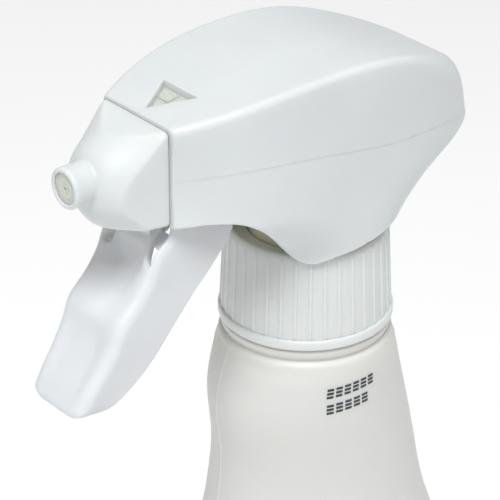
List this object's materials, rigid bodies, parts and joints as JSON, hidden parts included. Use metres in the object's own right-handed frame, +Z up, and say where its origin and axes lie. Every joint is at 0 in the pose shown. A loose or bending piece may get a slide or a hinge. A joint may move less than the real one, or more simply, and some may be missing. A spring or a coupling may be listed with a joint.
{
  "type": "trigger spray bottle",
  "caption": "Trigger spray bottle: oval squeeze-grip bottle, ribbed screw collar, beak-shaped shroud, finger trigger, pump and square turning nozzle.",
  "frame": {"origin": "centre of the bottle's flat base, on the neck's axis", "axes": "+Z up along the neck, the nozzle points to -Y, and the sprayer is symmetric about X = 0"},
  "size_m": [0.059, 0.1012, 0.2254],
  "materials": {
    "bottle_plastic": "satin ivory blow-moulded polyethylene",
    "white_plastic": "satin white moulded polypropylene",
    "natural_plastic": "natural uncoloured polypropylene",
    "tube_plastic": "natural extruded polyethylene",
    "seal": "soft pale elastomer",
    "spring_steel": "drawn stainless wire",
    "ball_steel": "polished stainless ball"
  },
  "bodies": {
    "bottle": {"bottle": "bottle_plastic"},
    "head": {"pump_body": "natural_plastic", "shroud": "white_plastic", "bottle_gasket": "seal", "tube_holder": "natural_plastic", "dip_tube": "tube_plastic", "tube_strainer": "natural_plastic", "vent_valve": "seal", "outlet_spring": "spring_steel", "return_spring": "spring_steel", "swirl_plug": "natural_plastic", "nozzle_seal": "seal"},
    "screw_collar": {"collar": "white_plastic"},
    "trigger_lever": {"trigger": "white_plastic"},
    "plunger": {"piston": "natural_plastic", "piston_seal": "seal"},
    "nozzle": {"nozzle_cap": "white_plastic", "orifice_cup": "white_plastic"},
    "outlet_poppet": {"outlet_valve": "natural_plastic"},
    "check_ball": {"inlet_ball": "ball_steel"}
  },
  "joints": [
    {"name": "head_lift", "type": "slide", "parent": "bottle", "child": "head", "axis": [0, 0, 1], "range_m": [0, 0.00634]},
    {"name": "collar_turn", "type": "hinge", "parent": "head", "child": "screw_collar", "pos_m": [0, 0, 0.178], "axis": [0, 0, 1], "range_deg": [0, 540]},
    {"name": "trigger_squeeze", "type": "hinge", "parent": "head", "child": "trigger_lever", "pos_m": [0, -0.033, 0.21243], "axis": [1, 0, 0], "range_deg": [0, 24]},
    {"name": "plunger_slide", "type": "slide", "parent": "head", "child": "plunger", "axis": [0, 1, 0], "range_m": [0, 0.0053], "stiffness_N_per_m": 300, "springref_m": -0.008, "deforming": ["return_spring"]},
    {"name": "nozzle_turn", "type": "hinge", "parent": "head", "child": "nozzle", "pos_m": [0, -0.045, 0.21243], "axis": [0, -1, 0], "continuous": true},
    {"name": "outlet_valve_lift", "type": "slide", "parent": "head", "child": "outlet_poppet", "axis": [0, -1, 0], "range_m": [0, 0.0012], "stiffness_N_per_m": 60, "springref_m": -0.003, "deforming": ["outlet_spring"]},
    {"name": "inlet_ball_lift", "type": "slide", "parent": "head", "child": "check_ball", "axis": [0, 0, 1], "range_m": [0, 0.0012]}
  ],
  "couplings": [
    {"joint": "collar_turn", "follows": "head_lift", "rad_per_m": 1484.3},
    {"joint": "trigger_squeeze", "follows": "plunger_slide", "rad_per_m": 78.74}
  ]
}
